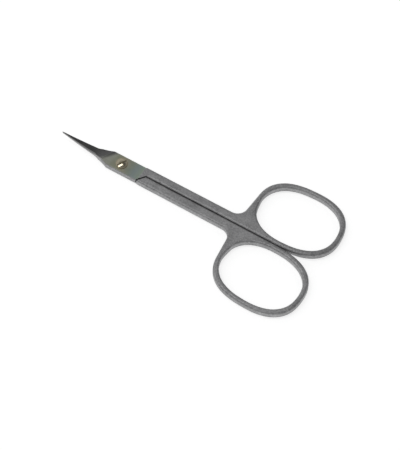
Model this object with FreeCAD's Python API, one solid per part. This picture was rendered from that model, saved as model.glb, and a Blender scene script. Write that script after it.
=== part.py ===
import FreeCAD, Part
import math
import os

from FreeCAD import Vector

# Cuticle scissors, in millimetres, lying closed on their flat side.
# The origin is on the pivot axis, in the plane the scissors rest on. +X points to the tips and +Z up
# through the screw head. The lower half has its ring on the +Y side and the upper half on the -Y side.

# Both halves
thickness = 2.5            # of the rings, webs and shanks, from top face to bottom face
edge_round = 0.65          # rounding of the outer edges of rings, shanks and joint
lap_gap = 0.06             # between the two mating faces
seam_gap = 0.14            # between the two closed shanks
overrun = 5.0              # how far a cutting shape runs past what it cuts
split_share = 0.5          # how far ahead the shank's solid ends, as a share of box_front
overlap_share = 0.25       # how deep the joint's solid reaches into it, as a share of half_box

# Finger rings
pivot_to_ring = 54.62      # along X, from the pivot to the middle of a finger hole
hole_half_length = 12.48
hole_half_width = 9.26
ring_wire = 1.60           # width of the metal round the hole
hole_squareness = 2.35     # exponent of the oval: 2 is an ellipse, more is squarer
ring_squareness = 2.45
ring_tilt = 2.3            # degrees that the ring's far end turns outwards
hole_round = 0.6           # rounding of the edges of the hole

# Shanks
shank_width = 2.82         # of one shank, just behind the joint
shank_flare = 0.08         # how much wider it is where it meets the ring
web_slant = 5.0            # degrees that the front of the ring leans forward to meet the shank
crotch_radius = 3.3        # hollow corner between shank and ring

# Joint, where the halves lap over each other
box_width = 5.5            # across both sides of the joint
box_front = 4.2            # from the pivot forward to the corners where the blades start
box_back = 6.7             # from the pivot back to where the sides step out to the shanks
side_step_length = 0.8
shoulder_outer = 6.6       # from the pivot back to the shoulder line, at the side of the joint
shoulder_inner = 8.8       # the same, at the seam
shoulder_gap = 0.5         # between a shoulder and the other half's lap
land_depth = 0.10          # how deep the flat under the screw head is ground
land_back = 7.1            # from the pivot back to the end of that flat
land_wheel = 1.0           # radius of the run-out at its end

# Blades
pivot_to_tip = 21.3
blade_from = 9.4           # from the pivot to where the straight taper starts
blade_width = 2.67         # there
tip_width = 0.3
blade_thickness = 0.85     # of one blade, at the start of its taper
tip_thickness = 0.3
curve_from = 2.6           # from the pivot to where the blades start to curve up
curve_radius = 125.0
scoop_skew = 28.8          # degrees that the ground hollow at the blade's root slants
scoop_share = 0.88         # where that hollow starts, as a share of the joint's half width
bevel_angle = 60.0         # degrees, of the bevel that makes the cutting edge
edge_land = 0.12           # thickness left under the bevel
back_bevel_angle = 35.0    # degrees, of the small bevel along the blade's back
back_share = 0.62          # where that bevel starts, as a share of the blade's thickness
bevel_wheel = 2.4          # radius of the run-out at the inner end of each bevel

# Pivot screw
screw_radius = 1.0
pivot_clearance = 0.04     # round the screw, in the upper half
thread_clearance = 0.02    # round the screw, in the lower half
head_clearance = 0.03      # between the head and the flat it turns on
head_radius = 1.85
head_side = 0.16           # height of the head's upright side
head_crown = 0.42          # rise of its dome above that side
slot_width = 0.45
slot_depth = 0.30
slot_turn = 62.0           # degrees from the X axis
peen_radius = 1.45         # of the screw's end, spread into the underside
peen_depth = 0.4

# Worked out from the sizes above
mid_height = thickness / 2
half_seam = seam_gap / 2
half_lap = lap_gap / 2
half_box = box_width / 2
land_height = thickness - land_depth
ring_half_length = hole_half_length + ring_wire
ring_half_width = hole_half_width + ring_wire
tilt = -math.radians(ring_tilt)
web_lean = math.radians(web_slant)
taper = math.atan2((blade_width - tip_width) / 2, pivot_to_tip - blade_from)
joint_split = box_front * split_share


def flat_face(edges):
    """Face inside a closed loop of edges that lie in one plane."""
    return Part.Face(Part.Wire(Part.__sortEdges__([e.toShape() for e in edges])))


def line(start, end):
    return Part.LineSegment(start, end)


def polygon_face(points):
    return Part.Face(Part.makePolygon(points + [points[0]]))


def tangent_arc(start, end, end_direction):
    """Arc from start to end that arrives along end_direction, all in one plane.

    The circle's centre is on the normal to that direction at the end, as far from it as from the start.
    """
    chord = start - end
    along = Vector(end_direction).normalize()
    across = (chord - along * chord.dot(along)).normalize()
    radius = chord.dot(chord) / (2 * chord.dot(across))
    centre = end + across * radius
    middle = ((start + end) / 2 - centre).normalize()
    return Part.Arc(start, centre + middle * radius, end)


def oval_reach(half_length, half_width, squareness, angle):
    """Distance from the middle of an upright oval to its edge, in the direction of an angle."""
    x_term = (abs(math.cos(angle)) / half_length) ** squareness
    y_term = (abs(math.sin(angle)) / half_width) ** squareness
    return (x_term + y_term) ** (-1 / squareness)


def oval_point(half_length, half_width, squareness, angle):
    """Point of the tilted oval, from its middle. The angle is measured in the oval's own axes."""
    reach = oval_reach(half_length, half_width, squareness, angle)
    return Vector(reach * math.cos(angle + tilt), reach * math.sin(angle + tilt), 0)


def oval_extreme(half_length, half_width, squareness, direction):
    """Angle, in the oval's own axes, of the point that lies furthest in a direction of the part."""
    x = math.cos(direction - tilt) * half_length
    y = math.sin(direction - tilt) * half_width
    power = 1 / (squareness - 1)
    x_part = math.copysign(abs(x) ** power, x) * half_length
    y_part = math.copysign(abs(y) ** power, y) * half_width
    return math.atan2(y_part, x_part)


# Where the ring lies: its outside touches the plane of the seam
seam_angle = oval_extreme(ring_half_length, ring_half_width, ring_squareness, -math.pi / 2)
front_angle = oval_extreme(ring_half_length, ring_half_width, ring_squareness, web_lean)
seam_point = oval_point(ring_half_length, ring_half_width, ring_squareness, seam_angle)
front_point = oval_point(ring_half_length, ring_half_width, ring_squareness, front_angle)
ring_middle = Vector(-pivot_to_ring, half_seam - seam_point.y, 0)


def ring_outside():
    """The ring's outer edge, from its front over its far end to the seam."""
    steps = 16
    turn = seam_angle + 2 * math.pi - front_angle
    angles = [front_angle + turn * step / steps for step in range(steps + 1)]
    points = [
        ring_middle + oval_point(ring_half_length, ring_half_width, ring_squareness, angle)
        for angle in angles
    ]
    curve = Part.BSplineCurve()
    curve.interpolate(
        Points=points,
        InitialTangent=Vector(-math.sin(web_lean), math.cos(web_lean), 0),
        FinalTangent=Vector(1, 0, 0),
        Scale=False,
    )
    return curve


def finger_hole():
    """The closed edge of the finger hole."""
    steps = 20
    angles = [2 * math.pi * step / steps for step in range(steps)]
    points = [
        ring_middle + oval_point(hole_half_length, hole_half_width, hole_squareness, angle)
        for angle in angles
    ]
    curve = Part.BSplineCurve()
    curve.interpolate(Points=points, PeriodicFlag=True)
    return curve


def hollow_centre(radius, side_point, side_normal, front_point, front_normal):
    """Centre of the arc that joins two straight edges in a hollow corner.

    Each edge is given by one of its points and its normal, and the centre is a radius away from both.
    """
    side_reach = radius + side_point.dot(side_normal)
    front_reach = radius + front_point.dot(front_normal)
    spread = side_normal.x * front_normal.y - side_normal.y * front_normal.x
    return Vector(
        (side_reach * front_normal.y - front_reach * side_normal.y) / spread,
        (front_reach * side_normal.x - side_reach * front_normal.x) / spread,
        0,
    )


def shank_and_ring_outline():
    """Outline of shank and ring, from the middle of the joint round to the seam again."""
    side_front = Vector(joint_split, half_box, 0)
    step_front = Vector(-box_back, half_box, 0)
    step_back = Vector(-box_back - side_step_length, half_seam + shank_width, 0)
    ring_front = ring_middle + front_point
    flare = math.atan2(shank_flare, step_back.x - ring_front.x)
    outward = Vector(math.sin(flare), math.cos(flare), 0)
    forward = Vector(math.cos(web_lean), math.sin(web_lean), 0)
    centre = hollow_centre(crotch_radius, step_back, outward, ring_front, forward)
    crotch_start = centre - outward * crotch_radius
    crotch_end = centre - forward * crotch_radius
    inward = (crotch_start + crotch_end - centre * 2).normalize()
    seam_front = Vector(joint_split, half_seam, 0)
    return [
        line(seam_front, side_front),
        line(side_front, step_front),
        line(step_front, step_back),
        line(step_back, crotch_start),
        Part.Arc(crotch_start, centre + inward * crotch_radius, crotch_end),
        line(crotch_end, ring_front),
        ring_outside(),
        line(ring_middle + seam_point, seam_front),
    ]


def is_flat_at(edge, height):
    box = edge.BoundBox
    return abs(box.ZMin - height) + abs(box.ZMax - height) < edge_round / 1000


def is_at_split(edge):
    """Whether an edge lies in the plane where the shank's solid ends and the blade's root goes on."""
    box = edge.BoundBox
    return abs(box.XMin - joint_split) + abs(box.XMax - joint_split) < half_seam


def round_edges(solid, radius, is_rounded):
    """Round the edges of the top and bottom faces that is_rounded picks."""
    edges = [e for e in solid.Edges if is_flat_at(e, 0) or is_flat_at(e, thickness)]
    return solid.makeFillet(radius, [e for e in edges if is_rounded(e)])


def shank_and_ring():
    """One shank with its ring, full thickness, with the ring on the +Y side."""
    solid = flat_face(shank_and_ring_outline()).extrude(Vector(0, 0, thickness))
    solid = round_edges(solid, edge_round, lambda edge: not is_at_split(edge))
    hole = flat_face([finger_hole()]).extrude(Vector(0, 0, thickness))
    return round_edges(solid.cut(hole), hole_round, lambda edge: edge.isClosed())


def shoulder_line(side, shift):
    """The slanted shoulder line on one side of the joint, moved along X by shift.

    It is given by its point at the seam and its direction outwards.
    """
    start = Vector(-shoulder_inner + shift, 0, 0)
    outwards = Vector(shoulder_inner - shoulder_outer, side * half_box, 0)
    return start, outwards


# How far along X a shoulder lies from the middle of its gap
shoulder_shift = shoulder_gap / 2 * math.hypot(half_box, shoulder_inner - shoulder_outer) / half_box


def joint_and_root():
    """The joint beyond the seam and the root of the blade, full thickness.

    It takes in the shank's own side only ahead of joint_split, where the shank's solid ends.
    """
    start, outwards = shoulder_line(-1, shoulder_shift)
    inner = half_box * overlap_share
    inside = start - outwards * overlap_share
    low_corner = Vector(box_front, -half_box, 0)
    low_blade = Vector(blade_from, -blade_width / 2, 0)
    high_blade = Vector(blade_from, blade_width / 2, 0)
    high_corner = Vector(box_front, half_box, 0)
    split_side = Vector(joint_split, half_box, 0)
    split_inside = Vector(joint_split, inner, 0)
    solid = flat_face([
        line(inside, start + outwards),
        line(start + outwards, low_corner),
        tangent_arc(low_corner, low_blade, Vector(math.cos(taper), math.sin(taper), 0)),
        line(low_blade, high_blade),
        tangent_arc(high_corner, high_blade, Vector(math.cos(taper), -math.sin(taper), 0)),
        line(high_corner, split_side),
        line(split_side, split_inside),
        line(split_inside, inside),
    ]).extrude(Vector(0, 0, thickness))

    def is_side(edge):
        middle = edge.valueAt((edge.FirstParameter + edge.LastParameter) / 2)
        is_behind = middle.x < -shoulder_outer + shoulder_shift
        return abs(middle.y) > blade_width / 2 and not is_behind and not is_at_split(edge)

    return round_edges(solid, edge_round, is_side)


def blade_blank():
    """The straight taper of a blade, tall enough for its curve, with nothing ground yet.

    It starts narrower inside the blade's root, which it joins where the taper starts.
    """
    half_blade = blade_width / 2
    half_tip = tip_width / 2
    inside = half_blade - (blade_from - box_front) * math.tan(taper)
    root = blade_from - half_blade
    end = pivot_to_tip - half_tip
    solid = flat_face([
        line(Vector(root, -inside / 2, 0), Vector(blade_from, -half_blade, 0)),
        line(Vector(blade_from, -half_blade, 0), Vector(end, -half_tip, 0)),
        Part.Arc(Vector(end, -half_tip, 0), Vector(pivot_to_tip, 0, 0), Vector(end, half_tip, 0)),
        line(Vector(end, half_tip, 0), Vector(blade_from, half_blade, 0)),
        line(Vector(blade_from, half_blade, 0), Vector(root, inside / 2, 0)),
        line(Vector(root, inside / 2, 0), Vector(root, -inside / 2, 0)),
    ])
    return solid.extrude(Vector(0, 0, thickness + overrun))


def mating_height(radius):
    """Height of the surface between the blades, at a distance from the pivot.

    It is flat round the pivot and then an arc, turned about the pivot axis, so that the blades pass
    each other at every angle.
    """
    run = max(0, radius - curve_from)
    return mid_height + curve_radius - math.sqrt(curve_radius ** 2 - run ** 2)


def above_mating_face(up):
    """Everything on the other half's side of the mating face. up is 1 for the upper half."""
    shift = up * half_lap
    far = pivot_to_tip + overrun
    middle = (curve_from + far) / 2
    clear = mid_height - up * (mid_height + 2 * overrun)
    profile = flat_face([
        line(Vector(0, 0, mid_height + shift), Vector(curve_from, 0, mid_height + shift)),
        Part.Arc(
            Vector(curve_from, 0, mid_height + shift),
            Vector(middle, 0, mating_height(middle) + shift),
            Vector(far, 0, mating_height(far) + shift),
        ),
        line(Vector(far, 0, mating_height(far) + shift), Vector(far, 0, clear)),
        line(Vector(far, 0, clear), Vector(0, 0, clear)),
        line(Vector(0, 0, clear), Vector(0, 0, mid_height + shift)),
    ])
    profile.rotate(Vector(0, 0, 0), Vector(0, 0, 1), -90)
    return profile.revolve(Vector(0, 0, 0), Vector(0, 0, 1), 180)


def lap_notch():
    """The room for the other half's lap in a half whose ring is on the +Y side.

    It ends a little ahead of the pivot, inside the room above the mating face.
    """
    start, outwards = shoulder_line(1, -shoulder_shift)
    ahead = curve_from / 2
    side = half_box + overrun
    back = start.x - overrun
    slope = outwards.x / outwards.y
    return polygon_face([
        Vector(start.x, 0, mid_height - half_lap),
        Vector(start.x + slope * side, side, mid_height - half_lap),
        Vector(ahead, side, mid_height - half_lap),
        Vector(ahead, -side, mid_height - half_lap),
        Vector(back, -side, mid_height - half_lap),
        Vector(back, 0, mid_height - half_lap),
    ]).extrude(Vector(0, 0, mid_height + overrun))


def blade_outside(up, root_outside):
    """What grinding takes off the outside of a blade, from its root to its tip.

    The profile runs along a line that slants by scoop_skew: a hollow that starts at root_outside, the
    height of the joint's outer face, then the long outer curve of the blade.
    """
    skew = math.radians(scoop_skew)
    slant = math.cos(skew)
    start = box_front * slant + half_box * scoop_share * math.sin(skew)
    end = pivot_to_tip + overrun
    middle = (blade_from + end) / 2
    slim = (blade_thickness - tip_thickness) / (pivot_to_tip - blade_from)

    def outside(x):
        depth = blade_thickness - slim * (x - blade_from)
        return Vector(x * slant, 0, mating_height(x) + up * depth)

    curve = Part.Arc(outside(blade_from), outside(middle), outside(end))
    direction = curve.tangent(curve.FirstParameter)[0]
    clear = root_outside + up * (overrun + mating_height(end))
    face = flat_face([
        tangent_arc(Vector(start, 0, root_outside), outside(blade_from), direction),
        curve,
        line(outside(end), Vector(end * slant, 0, clear)),
        line(Vector(end * slant, 0, clear), Vector(start, 0, clear)),
        line(Vector(start, 0, clear), Vector(start, 0, root_outside)),
    ])
    side = pivot_to_tip + overrun
    face.translate(Vector(0, -side, 0))
    solid = face.extrude(Vector(0, 2 * side, 0))
    solid.rotate(Vector(0, 0, 0), Vector(0, 0, 1), -up * scoop_skew)
    return solid


def blade_bevel(up, side, root_depth, tip_depth, angle):
    """A bevel along one straight side of a blade, with a run-out at its inner end.

    It starts at the side face, root_depth to tip_depth from the mating face, and rises inwards at angle.
    """
    edge_start = Vector(blade_from, side * blade_width / 2, 0)
    edge_end = Vector(pivot_to_tip, side * tip_width / 2, 0)
    length = (edge_end - edge_start).Length
    along = (edge_end - edge_start).normalize()

    def on_edge(share):
        point = edge_start + along * (length * share)
        depth = root_depth + (tip_depth - root_depth) * share
        height = mating_height(math.hypot(point.x, point.y)) + up * (half_lap + depth)
        return Vector(point.x, point.y, height)

    past = 1 + overrun / length
    curve = Part.Arc(on_edge(0), on_edge(past / 2), on_edge(past))
    direction = curve.tangent(curve.FirstParameter)[0]
    outward = Vector(0, 0, up) - direction * (up * direction.z)
    outward.normalize()
    centre = on_edge(0) + outward * bevel_wheel
    runout = Part.Arc(
        on_edge(0),
        centre - (outward + direction).normalize() * bevel_wheel,
        centre - direction * bevel_wheel,
    )
    inner = centre - direction * bevel_wheel
    clear = up * (bevel_wheel + overrun)
    high_inner = inner + Vector(0, 0, clear)
    high_end = Vector(on_edge(past).x, on_edge(past).y, high_inner.z)
    face = flat_face([
        runout,
        curve,
        line(on_edge(past), high_end),
        line(high_end, high_inner),
        line(high_inner, inner),
    ])
    steep = math.radians(angle)
    inwards = Vector(along.y, -along.x, 0) * side
    rise = inwards * math.cos(steep) + Vector(0, 0, up * math.sin(steep))
    face.translate(-rise * half_box)
    return face.extrude(rise * 2 * box_width)


def turn_over(solid):
    """Turn a half over about the X axis, so that its ring and its lap change sides."""
    solid.rotate(Vector(0, 0, mid_height), Vector(1, 0, 0), 180)
    return solid


def room_for_other_half(up):
    """All that the mating face and the lap leave out of a half, as one cutting shape."""
    notch = turn_over(lap_notch()) if up > 0 else lap_notch()
    return notch.fuse(above_mating_face(up))


def ground_blade(solid, up, root_outside):
    """Grind the mating face, the outside and both bevels of one half's blade."""
    cutting_side = -up
    solid = solid.cut(room_for_other_half(up))
    solid = solid.cut(blade_outside(up, root_outside))
    solid = solid.cut(blade_bevel(up, cutting_side, edge_land, edge_land, bevel_angle))
    back_root = blade_thickness * back_share
    back_tip = tip_thickness * back_share
    return solid.cut(blade_bevel(up, -cutting_side, back_root, back_tip, back_bevel_angle))


def ground_land():
    """What grinding takes off the top of the joint, with a round run-out at its back."""
    side = half_box + overrun
    front = box_front + overrun
    runout_start = -land_back + math.sqrt(2 * land_wheel * land_depth - land_depth ** 2)
    lift = math.sqrt(land_wheel ** 2 - (land_wheel - land_depth) ** 2)
    middle_angle = math.acos(1 - land_depth / land_wheel) / 2
    middle = Vector(
        runout_start - land_wheel * math.sin(middle_angle),
        -side,
        land_height + land_wheel * (1 - math.cos(middle_angle)),
    )
    back = Vector(runout_start - lift, -side, thickness)
    high = thickness + overrun
    return flat_face([
        line(Vector(front, -side, land_height), Vector(runout_start, -side, land_height)),
        Part.Arc(Vector(runout_start, -side, land_height), middle, back),
        line(back, Vector(back.x, -side, high)),
        line(Vector(back.x, -side, high), Vector(front, -side, high)),
        line(Vector(front, -side, high), Vector(front, -side, land_height)),
    ]).extrude(Vector(0, 2 * side, 0))


def shank_and_joint():
    """Ring, shank and joint of a half, full thickness, with the ring on the +Y side."""
    return shank_and_ring().fuse(joint_and_root())


def lower_half():
    """The half under the joint, with the threaded hole."""
    solid = shank_and_joint().fuse(blade_blank())
    solid = ground_blade(solid, -1, 0)
    hole_radius = screw_radius + thread_clearance
    solid = solid.cut(Part.makeCylinder(hole_radius, thickness + overrun, Vector(0, 0, -overrun)))
    sink_slope = (peen_radius - screw_radius) / peen_depth
    sink = Part.makeCone(
        peen_radius + thread_clearance + sink_slope * overrun,
        hole_radius,
        peen_depth + overrun,
        Vector(0, 0, -overrun),
    )
    return solid.cut(sink).removeSplitter()


def upper_half():
    """The half on top at the joint, with the plain hole and the flat under the screw head."""
    solid = turn_over(shank_and_joint()).fuse(blade_blank())
    solid = solid.cut(ground_land())
    solid = ground_blade(solid, 1, land_height)
    hole_radius = screw_radius + pivot_clearance
    hole = Part.makeCylinder(hole_radius, thickness + 2 * overrun, Vector(0, 0, -overrun))
    return solid.cut(hole).removeSplitter()


def pivot_screw():
    """Slotted screw with a low domed head. Its end is spread into the underside of the lower half."""
    seat = land_height + head_clearance
    side_top = seat + head_side
    dome_radius = (head_radius ** 2 + head_crown ** 2) / (2 * head_crown)
    half_angle = math.asin(head_radius / dome_radius) / 2
    top = Vector(0, 0, side_top + head_crown)
    dome_middle = Vector(
        dome_radius * math.sin(half_angle),
        0,
        top.z - dome_radius * (1 - math.cos(half_angle)),
    )
    points = [
        Vector(head_radius, 0, side_top),
        Vector(head_radius, 0, seat),
        Vector(screw_radius, 0, seat),
        Vector(screw_radius, 0, peen_depth),
        Vector(peen_radius, 0, 0),
        Vector(0, 0, 0),
        top,
    ]
    edges = [line(a, b) for a, b in zip(points, points[1:])]
    edges.append(Part.Arc(top, dome_middle, points[0]))
    screw = flat_face(edges).revolve(Vector(0, 0, 0), Vector(0, 0, 1), 360)
    slot_length = 2 * (head_radius + overrun)
    slot = Part.makeBox(slot_length, slot_width, head_crown + overrun)
    slot.translate(Vector(-slot_length / 2, -slot_width / 2, top.z - slot_depth))
    slot.rotate(Vector(0, 0, 0), Vector(0, 0, 1), slot_turn)
    return screw.cut(slot)


os.makedirs("parts", exist_ok=True)
for name, shape in [
    ("lower_half", lower_half()),
    ("upper_half", upper_half()),
    ("pivot_screw", pivot_screw()),
]:
    print(name, shape.ShapeType, "solids", len(shape.Solids), "valid", shape.isValid())
    print("  volume", round(shape.Volume, 2), "box", shape.BoundBox)
    shape.exportStep("parts/" + name + ".step")
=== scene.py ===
import math

import bpy
import numpy as np
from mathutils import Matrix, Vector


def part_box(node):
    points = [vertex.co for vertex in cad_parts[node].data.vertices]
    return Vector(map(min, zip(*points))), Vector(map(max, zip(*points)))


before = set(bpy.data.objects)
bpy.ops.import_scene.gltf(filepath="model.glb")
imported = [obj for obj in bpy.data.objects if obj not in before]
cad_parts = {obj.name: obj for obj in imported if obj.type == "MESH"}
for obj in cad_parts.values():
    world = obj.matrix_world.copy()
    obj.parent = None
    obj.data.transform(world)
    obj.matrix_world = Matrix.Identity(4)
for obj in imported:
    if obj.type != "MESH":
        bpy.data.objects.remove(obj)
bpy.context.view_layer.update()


# The two halves of the scissors are forged from stainless steel and bead-blasted to a fine satin. The flat
# under the screw's head and the blades are ground afterwards, so they are smoother and mirror more.
# The halves lie over each other at the joint, where the screw holds them together.

flat_height = 2.4e-3         # of the ground flat, which lies a little below the shanks' tops
flat_back = -7.1e-3          # where it ends towards the rings, from the pivot
flat_front = 4.5e-3          # and where its tints end towards the blade
flat_fade = 0.1e-3           # half the width over which its grinding runs out
flat_near = 0.03e-3          # heights this close to it are ground
flat_far = 0.05e-3           # and heights this far from it aren't
flat_roughness = (0.34, 0.42)
flat_tints = (
    (0.0, "#A6B3A3"),        # at its end towards the rings
    (0.18, "#9DA9A8"),
    (0.32, "#9DA598"),
    (0.46, "#A9A897"),
    (0.61, "#ACA994"),       # at the pivot
    (0.77, "#A1A38F"),
    (0.9, "#ACAFA1"),
    (1.0, "#AFB1A6"),        # at the root of the blade
)
tint_wander = 0.35           # how far the clouds of the satin push the tints along the flat
tint_return = -0.17          # and back, so that on average they stay

blade_slant = math.radians(41)
blade_start = 3.2e-3         # from the pivot to where the hollow grinding begins, square to its slant
blade_full = 4.6e-3          # and to where it has taken all the satin away
blade_roughness = (0.12, 0.17)
blade_tones = ("#8E8E8F", "#A0A09F")
grinding_spacing = 0.16e-3   # between the grinding lines, drawn coarser than real so that they show
grinding_stretch = 25        # how many times longer than wide they are

satin_roughness = (0.46, 0.54)
satin_tones = ("#838384", "#B3B3B4")
cloud_width = 4.0e-3         # of the slow changes of tone over the satin
speck_width = 0.5e-3         # of its specks, drawn coarser than real so that they show
speck_share = 0.6            # of the specks in the tone, against the clouds
steel_grit = 0.10e-3         # width of the pits that the beads leave, drawn coarser than real too
relief_strength = 0.12
tone_ends = (0.35, 0.65)     # values of the noise that give the first and the last tone
rough_ends = (0.3, 0.7)      # and the least and the greatest roughness


def linear(hex_colour):
    """Linear RGBA of an sRGB hex colour: the sRGB curve is undone on each channel."""
    parts = [int(hex_colour[i:i + 2], 16) / 255 for i in (1, 3, 5)]
    return tuple(c / 12.92 if c <= 0.04045 else ((c + 0.055) / 1.055) ** 2.4 for c in parts) + (1.0,)


def new_material(name):
    """An empty node material and its tree."""
    material = bpy.data.materials.new(name)
    material.use_nodes = True
    material.node_tree.nodes.clear()
    return material, material.node_tree


def node(tree, kind, settings=None, **links):
    """Adds a node. settings are its own properties, links its inputs: values, or sockets that feed them.

    An input is written by its name, or by _ and its number where names repeat. A Mix node takes its share
    as _0, two numbers as _2 and _3, or two colours as _6 and _7.
    """
    made = tree.nodes.new(kind)
    for name, value in (settings or {}).items():
        setattr(made, name, value)
    for name, value in links.items():
        key = int(name[1:]) if name[0] == "_" else name.replace("_", " ")
        if isinstance(value, bpy.types.NodeSocket):
            tree.links.new(value, made.inputs[key])
        else:
            made.inputs[key].default_value = value
    return made


def satin_steel(name, up):
    """Stainless steel, bead-blasted: a soft grey sheen with fine grain.

    The satin is rough, so it gathers light from all round. The flat round the screw is ground finer, with
    faint olive and blue-green tints. The blades are smoothest, and mirror what hangs above them.
    up is 1 for the half that lies on top and -1 for the one that is turned over.
    """
    material, tree = new_material(name)
    place = node(tree, "ShaderNodeTexCoord").outputs["Object"]
    axes = node(tree, "ShaderNodeSeparateXYZ", Vector=place)
    x = axes.outputs["X"]
    z = axes.outputs["Z"]

    # the ground flat: ahead of the line where its grinding runs out, and at its own height
    ahead = node(tree, "ShaderNodeMapRange", _0=x, _1=flat_back - flat_fade, _2=flat_back + flat_fade)
    below = node(tree, "ShaderNodeMapRange", _0=z, _1=flat_height + flat_near, _2=flat_height + flat_far,
                 _3=1.0, _4=0.0)
    above = node(tree, "ShaderNodeMapRange", _0=z, _1=flat_height - flat_far, _2=flat_height - flat_near)
    level = node(tree, "ShaderNodeMath", {"operation": "MULTIPLY"}, _0=below.outputs[0],
                 _1=above.outputs[0])
    flat = node(tree, "ShaderNodeMath", {"operation": "MULTIPLY"}, _0=ahead.outputs[0],
                _1=level.outputs[0]).outputs[0]

    # the blade: ahead of a line that slants across its root
    forward = (math.cos(blade_slant), -up * math.sin(blade_slant), 0.0)
    reach = node(tree, "ShaderNodeVectorMath", {"operation": "DOT_PRODUCT"}, _0=place, _1=forward)
    blade = node(tree, "ShaderNodeMapRange", _0=reach.outputs["Value"], _1=blade_start,
                 _2=blade_full).outputs[0]
    ground = node(tree, "ShaderNodeMath", {"operation": "MAXIMUM"}, _0=flat, _1=blade).outputs[0]

    # the satin changes its tone slowly from place to place, and finely from speck to speck
    cloud = node(tree, "ShaderNodeTexNoise", Vector=place, Scale=1 / cloud_width, Detail=3.0,
                 Roughness=0.6).outputs[0]
    speck = node(tree, "ShaderNodeTexNoise", Vector=place, Scale=1 / speck_width, Detail=2.0,
                 Roughness=0.7).outputs[0]
    mottle = node(tree, "ShaderNodeMix", _0=speck_share, _2=cloud, _3=speck).outputs[0]
    satin_tone = node(tree, "ShaderNodeValToRGB", _0=mottle)
    for stop, position, colour in zip(satin_tone.color_ramp.elements, tone_ends, satin_tones):
        stop.position = position
        stop.color = linear(colour)

    # the flat's tints follow one another from its back to its front, with borders that wander a little
    along = node(tree, "ShaderNodeMapRange", _0=x, _1=flat_back, _2=flat_front).outputs[0]
    wander = node(tree, "ShaderNodeMath", {"operation": "MULTIPLY_ADD"}, _0=cloud, _1=tint_wander,
                  _2=tint_return).outputs[0]
    tint_place = node(tree, "ShaderNodeMath", {"operation": "ADD"}, _0=along, _1=wander).outputs[0]
    flat_tone = node(tree, "ShaderNodeValToRGB", _0=tint_place)
    stops = flat_tone.color_ramp.elements
    stops[0].color = linear(flat_tints[0][1])
    stops[-1].color = linear(flat_tints[-1][1])
    for position, colour in flat_tints[1:-1]:
        stops.new(position).color = linear(colour)

    # the blades carry fine straight grinding lines, a little darker and lighter
    stretched = node(tree, "ShaderNodeMapping", _0=place, Scale=(1 / grinding_stretch, 1.0, 1.0)).outputs[0]
    lines = node(tree, "ShaderNodeTexNoise", Vector=stretched, Scale=1 / grinding_spacing,
                 Detail=2.0).outputs[0]
    blade_tone = node(tree, "ShaderNodeValToRGB", _0=lines)
    for stop, position, colour in zip(blade_tone.color_ramp.elements, tone_ends, blade_tones):
        stop.position = position
        stop.color = linear(colour)

    colour = node(tree, "ShaderNodeMix", {"data_type": "RGBA"}, _0=flat, _6=satin_tone.outputs[0],
                  _7=flat_tone.outputs[0]).outputs[2]
    colour = node(tree, "ShaderNodeMix", {"data_type": "RGBA"}, _0=blade, _6=colour,
                  _7=blade_tone.outputs[0]).outputs[2]

    # each finish is a little rougher in some places than in others
    satin_rough, flat_rough, blade_rough = (
        node(tree, "ShaderNodeMapRange", _0=cloud, _1=rough_ends[0], _2=rough_ends[1],
             _3=least, _4=most).outputs[0]
        for least, most in (satin_roughness, flat_roughness, blade_roughness)
    )
    rough = node(tree, "ShaderNodeMix", _0=flat, _2=satin_rough, _3=flat_rough).outputs[0]
    rough = node(tree, "ShaderNodeMix", _0=blade, _2=rough, _3=blade_rough).outputs[0]

    # relief: pits on the satin, fine straight lines on the ground parts
    pits = node(tree, "ShaderNodeTexNoise", Vector=place, Scale=1 / steel_grit, Detail=2.0,
                Roughness=0.5).outputs[0]
    relief = node(tree, "ShaderNodeMix", _0=ground, _2=pits, _3=lines).outputs[0]
    bump = node(tree, "ShaderNodeBump", Strength=relief_strength, Distance=steel_grit / 4,
                Height=relief).outputs[0]

    steel = node(tree, "ShaderNodeBsdfPrincipled", Base_Color=colour, Metallic=1.0, Roughness=rough,
                 Normal=bump)
    node(tree, "ShaderNodeOutputMaterial", Surface=steel.outputs[0])
    return material


for name, up in (("lower_half", -1), ("upper_half", 1)):
    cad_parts[name].data.materials[0] = satin_steel("bead_blasted_stainless_" + name, up)


# The pivot screw is turned from brass, with a low domed head and one sawn slot. It passes through the
# upper half with running clearance, and its end is spread into the underside of the lower half.

head_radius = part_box("pivot_screw")[1][0]
# The head is painted darker and browner towards its rim: painted shade round the edge of the dome.
shade_free_radius = 1.3e-3        # of the head's middle, where no shade is painted
rim_shade_share = 0.35           # how much of the painted shade's colour the rim has
rim_shade_colour = "#75684F"
brass_tones = ("#ADA58F", "#C4BCA7")
brass_roughness = (0.13, 0.18)
stain_width = 0.8e-3         # of the brass's darker and lighter places
stain_ends = (0.3, 0.7)      # values of the noise that give the first and the last tone and roughness
turning_spacing = 0.565e-3   # between the turning marks, drawn coarser than real so that they show
turning_depth = 0.0225e-3
turning_strength = 0.1
turning_distortion = 0.6


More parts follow.
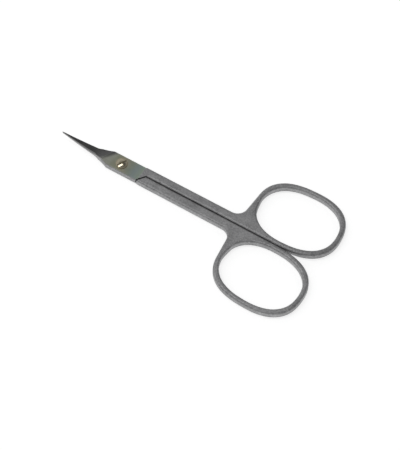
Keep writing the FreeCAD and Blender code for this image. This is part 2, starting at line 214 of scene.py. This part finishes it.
def turned_brass(name):
    """Brass, turned and polished: warm yellow, with fine rings round its axis, and painted shade that
    darkens it towards the rim.
    """
    material, tree = new_material(name)
    place = node(tree, "ShaderNodeTexCoord").outputs["Object"]
    stain = node(tree, "ShaderNodeTexNoise", Vector=place, Scale=1 / stain_width, Detail=3.0).outputs[0]
    tone = node(tree, "ShaderNodeValToRGB", _0=stain)
    for stop, position, colour in zip(tone.color_ramp.elements, stain_ends, brass_tones):
        stop.position = position
        stop.color = linear(colour)

    # painted shade: the colour turns darker and browner from the middle of the head out to its rim
    sideways = node(tree, "ShaderNodeVectorMath", {"operation": "MULTIPLY"}, _0=place, _1=(1.0, 1.0, 0.0))
    radius = node(tree, "ShaderNodeVectorMath", {"operation": "LENGTH"}, _0=sideways.outputs[0])
    painted_rim_shade = node(tree, "ShaderNodeMapRange", _0=radius.outputs["Value"], _1=shade_free_radius,
                   _2=head_radius, _4=rim_shade_share).outputs[0]
    colour = node(tree, "ShaderNodeMix", {"data_type": "RGBA"}, _0=painted_rim_shade, _6=tone.outputs[0],
                  _7=linear(rim_shade_colour)).outputs[2]
    rough = node(tree, "ShaderNodeMapRange", _0=stain, _1=stain_ends[0], _2=stain_ends[1],
                 _3=brass_roughness[0], _4=brass_roughness[1]).outputs[0]

    # the turning marks: rings of a wave that repeats every pi / 10 divided by its scale
    rings = node(tree, "ShaderNodeTexWave", {"wave_type": "RINGS", "rings_direction": "Z"}, Vector=place,
                 Scale=math.pi / 10 / turning_spacing, Distortion=turning_distortion, Detail=1.0)
    bump = node(tree, "ShaderNodeBump", Strength=turning_strength, Distance=turning_depth,
                Height=rings.outputs["Fac"]).outputs[0]

    brass = node(tree, "ShaderNodeBsdfPrincipled", Base_Color=colour, Metallic=1.0, Roughness=rough,
                 Normal=bump)
    node(tree, "ShaderNodeOutputMaterial", Surface=brass.outputs[0])
    return material


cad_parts["pivot_screw"].data.materials[0] = turned_brass("turned_brass")


# The floor is one large sheet of matt white paper, which the closed scissors lie on. Part of its white
# doesn't depend on shadows, so the background stays white and the scissors' shadow stays soft.

floor_radius = 2.0
floor_corners = 96
paper_colour = "#D3D3D3"
paper_light = 0.68           # the part of its white that doesn't depend on shadows


def paper_disc(radius, corners):
    """Disc round the origin: corners evenly round a circle, at height 0, closed by one face."""
    turn = np.linspace(0, 2 * np.pi, corners, endpoint=False)
    points = np.stack([radius * np.cos(turn), radius * np.sin(turn), np.zeros_like(turn)], -1)
    mesh = bpy.data.meshes.new("floor")
    mesh.from_pydata(points.tolist(), [], [list(range(corners))])
    return bpy.data.objects.new("floor", mesh)


def white_paper(name):
    """Matt white paper: even and pale, with the soft shadow of what lies on it.

    The camera, the metal's mirror and rays through glass see its own light, which lights nothing.
    """
    material, tree = new_material(name)
    rays = node(tree, "ShaderNodeLightPath").outputs
    seen = node(tree, "ShaderNodeMath", {"operation": "MAXIMUM"}, _0=rays["Is Camera Ray"],
                _1=rays["Is Glossy Ray"])
    seen = node(tree, "ShaderNodeMath", {"operation": "MAXIMUM"}, _0=seen.outputs[0],
                _1=rays["Is Transmission Ray"])
    strength = node(tree, "ShaderNodeMath", {"operation": "MULTIPLY"}, _0=seen.outputs[0], _1=paper_light)
    matt = node(tree, "ShaderNodeBsdfDiffuse", Color=linear(paper_colour))
    glow = node(tree, "ShaderNodeEmission", Color=linear("#FFFFFF"), Strength=strength.outputs[0])
    both = node(tree, "ShaderNodeAddShader", _0=matt.outputs[0], _1=glow.outputs[0])
    node(tree, "ShaderNodeOutputMaterial", Surface=both.outputs[0])
    return material


floor = paper_disc(floor_radius, floor_corners)
floor.data.materials.append(white_paper("white_paper"))
bpy.context.scene.collection.objects.link(floor)


# The light is a pale room, brightest at the wall beyond the blades and darker towards the rings, and one
# long soft box above, which the screw's dome mirrors as its highlight. A dark screen with soft edges hangs
# where the blades mirror it, so they are darker than the satin. The camera itself sees white.

box_size = (0.15, 0.66)
box_power = 1.55             # watts
box_place = (0.25, 0.01, 0.965)
box_tilt = math.radians(15)
box_turn = math.radians(-36)
bright_towards = (1.0, 0.0, 0.0)
bright_from = 0.85           # cosine of the angle from there at which the room is brightest
dark_from = -0.1             # and at which it is darkest
room_bright = 0.66
room_dark = 0.40
screen_towards = (0.14, -0.30, 0.943)
screen_reach = math.radians(34)    # from its dark middle to where it has faded out
screen_shade = 0.10          # how much of the room's light its middle leaves

lamp = bpy.data.lights.new("soft_box", "AREA")
lamp.shape = "RECTANGLE"
lamp.size, lamp.size_y = box_size
lamp.energy = box_power
lamp_object = bpy.data.objects.new("soft_box", lamp)
lamp_object.location = box_place
lamp_object.rotation_euler = (0.0, box_tilt, box_turn)
bpy.context.scene.collection.objects.link(lamp_object)

world = bpy.data.worlds.new("pale_room")
world.use_nodes = True
bpy.context.scene.world = world
tree = world.node_tree
tree.nodes.clear()
outwards = node(tree, "ShaderNodeTexCoord").outputs["Generated"]
nearness = node(tree, "ShaderNodeVectorMath", {"operation": "DOT_PRODUCT"}, _0=outwards, _1=bright_towards)
brightness = node(tree, "ShaderNodeMapRange", _0=nearness.outputs["Value"], _1=dark_from, _2=bright_from,
                  _3=room_dark, _4=room_bright)
to_screen = node(tree, "ShaderNodeVectorMath", {"operation": "DOT_PRODUCT"}, _0=outwards, _1=screen_towards)
shade = node(tree, "ShaderNodeMapRange", _0=to_screen.outputs["Value"], _1=math.cos(screen_reach), _2=1.0,
             _3=1.0, _4=screen_shade)
screened = node(tree, "ShaderNodeMath", {"operation": "MULTIPLY"}, _0=brightness.outputs[0],
                _1=shade.outputs[0])
seen = node(tree, "ShaderNodeLightPath").outputs["Is Camera Ray"]
strength = node(tree, "ShaderNodeMath", {"operation": "MAXIMUM"}, _0=screened.outputs[0], _1=seen)
room = node(tree, "ShaderNodeBackground", Color=linear("#FFFFFF"), Strength=strength.outputs[0])
node(tree, "ShaderNodeOutputWorld", Surface=room.outputs[0])


# The camera stands where the photograph was taken from: high above the scissors, on the side of the ring
# that is nearest in the photograph.

view_azimuth = math.radians(211.41)
view_elevation = math.radians(60.1)
view_target = (-0.030687, 0.005282, 0.0011)    # the point that falls in the middle of the image
view_distance = 0.46265
pixels_per_metre = 3400      # of the image, at the target
image_height = 450
film_height = 36.0           # millimetres; Blender's sensor width is for the longer side, here the height

camera = bpy.data.cameras.new("camera")
camera.sensor_width = film_height
camera.lens = film_height * pixels_per_metre * view_distance / image_height
camera.clip_start = 0.01
camera.clip_end = 10.0
camera_object = bpy.data.objects.new("camera", camera)
back = (
    math.sin(view_azimuth) * math.cos(view_elevation),
    -math.cos(view_azimuth) * math.cos(view_elevation),
    math.sin(view_elevation),
)
camera_object.location = tuple(t + view_distance * b for t, b in zip(view_target, back))
camera_object.rotation_euler = (math.pi / 2 - view_elevation, 0.0, view_azimuth)
bpy.context.scene.collection.objects.link(camera_object)
bpy.context.scene.camera = camera_object
bpy.context.scene.view_settings.view_transform = "Standard"
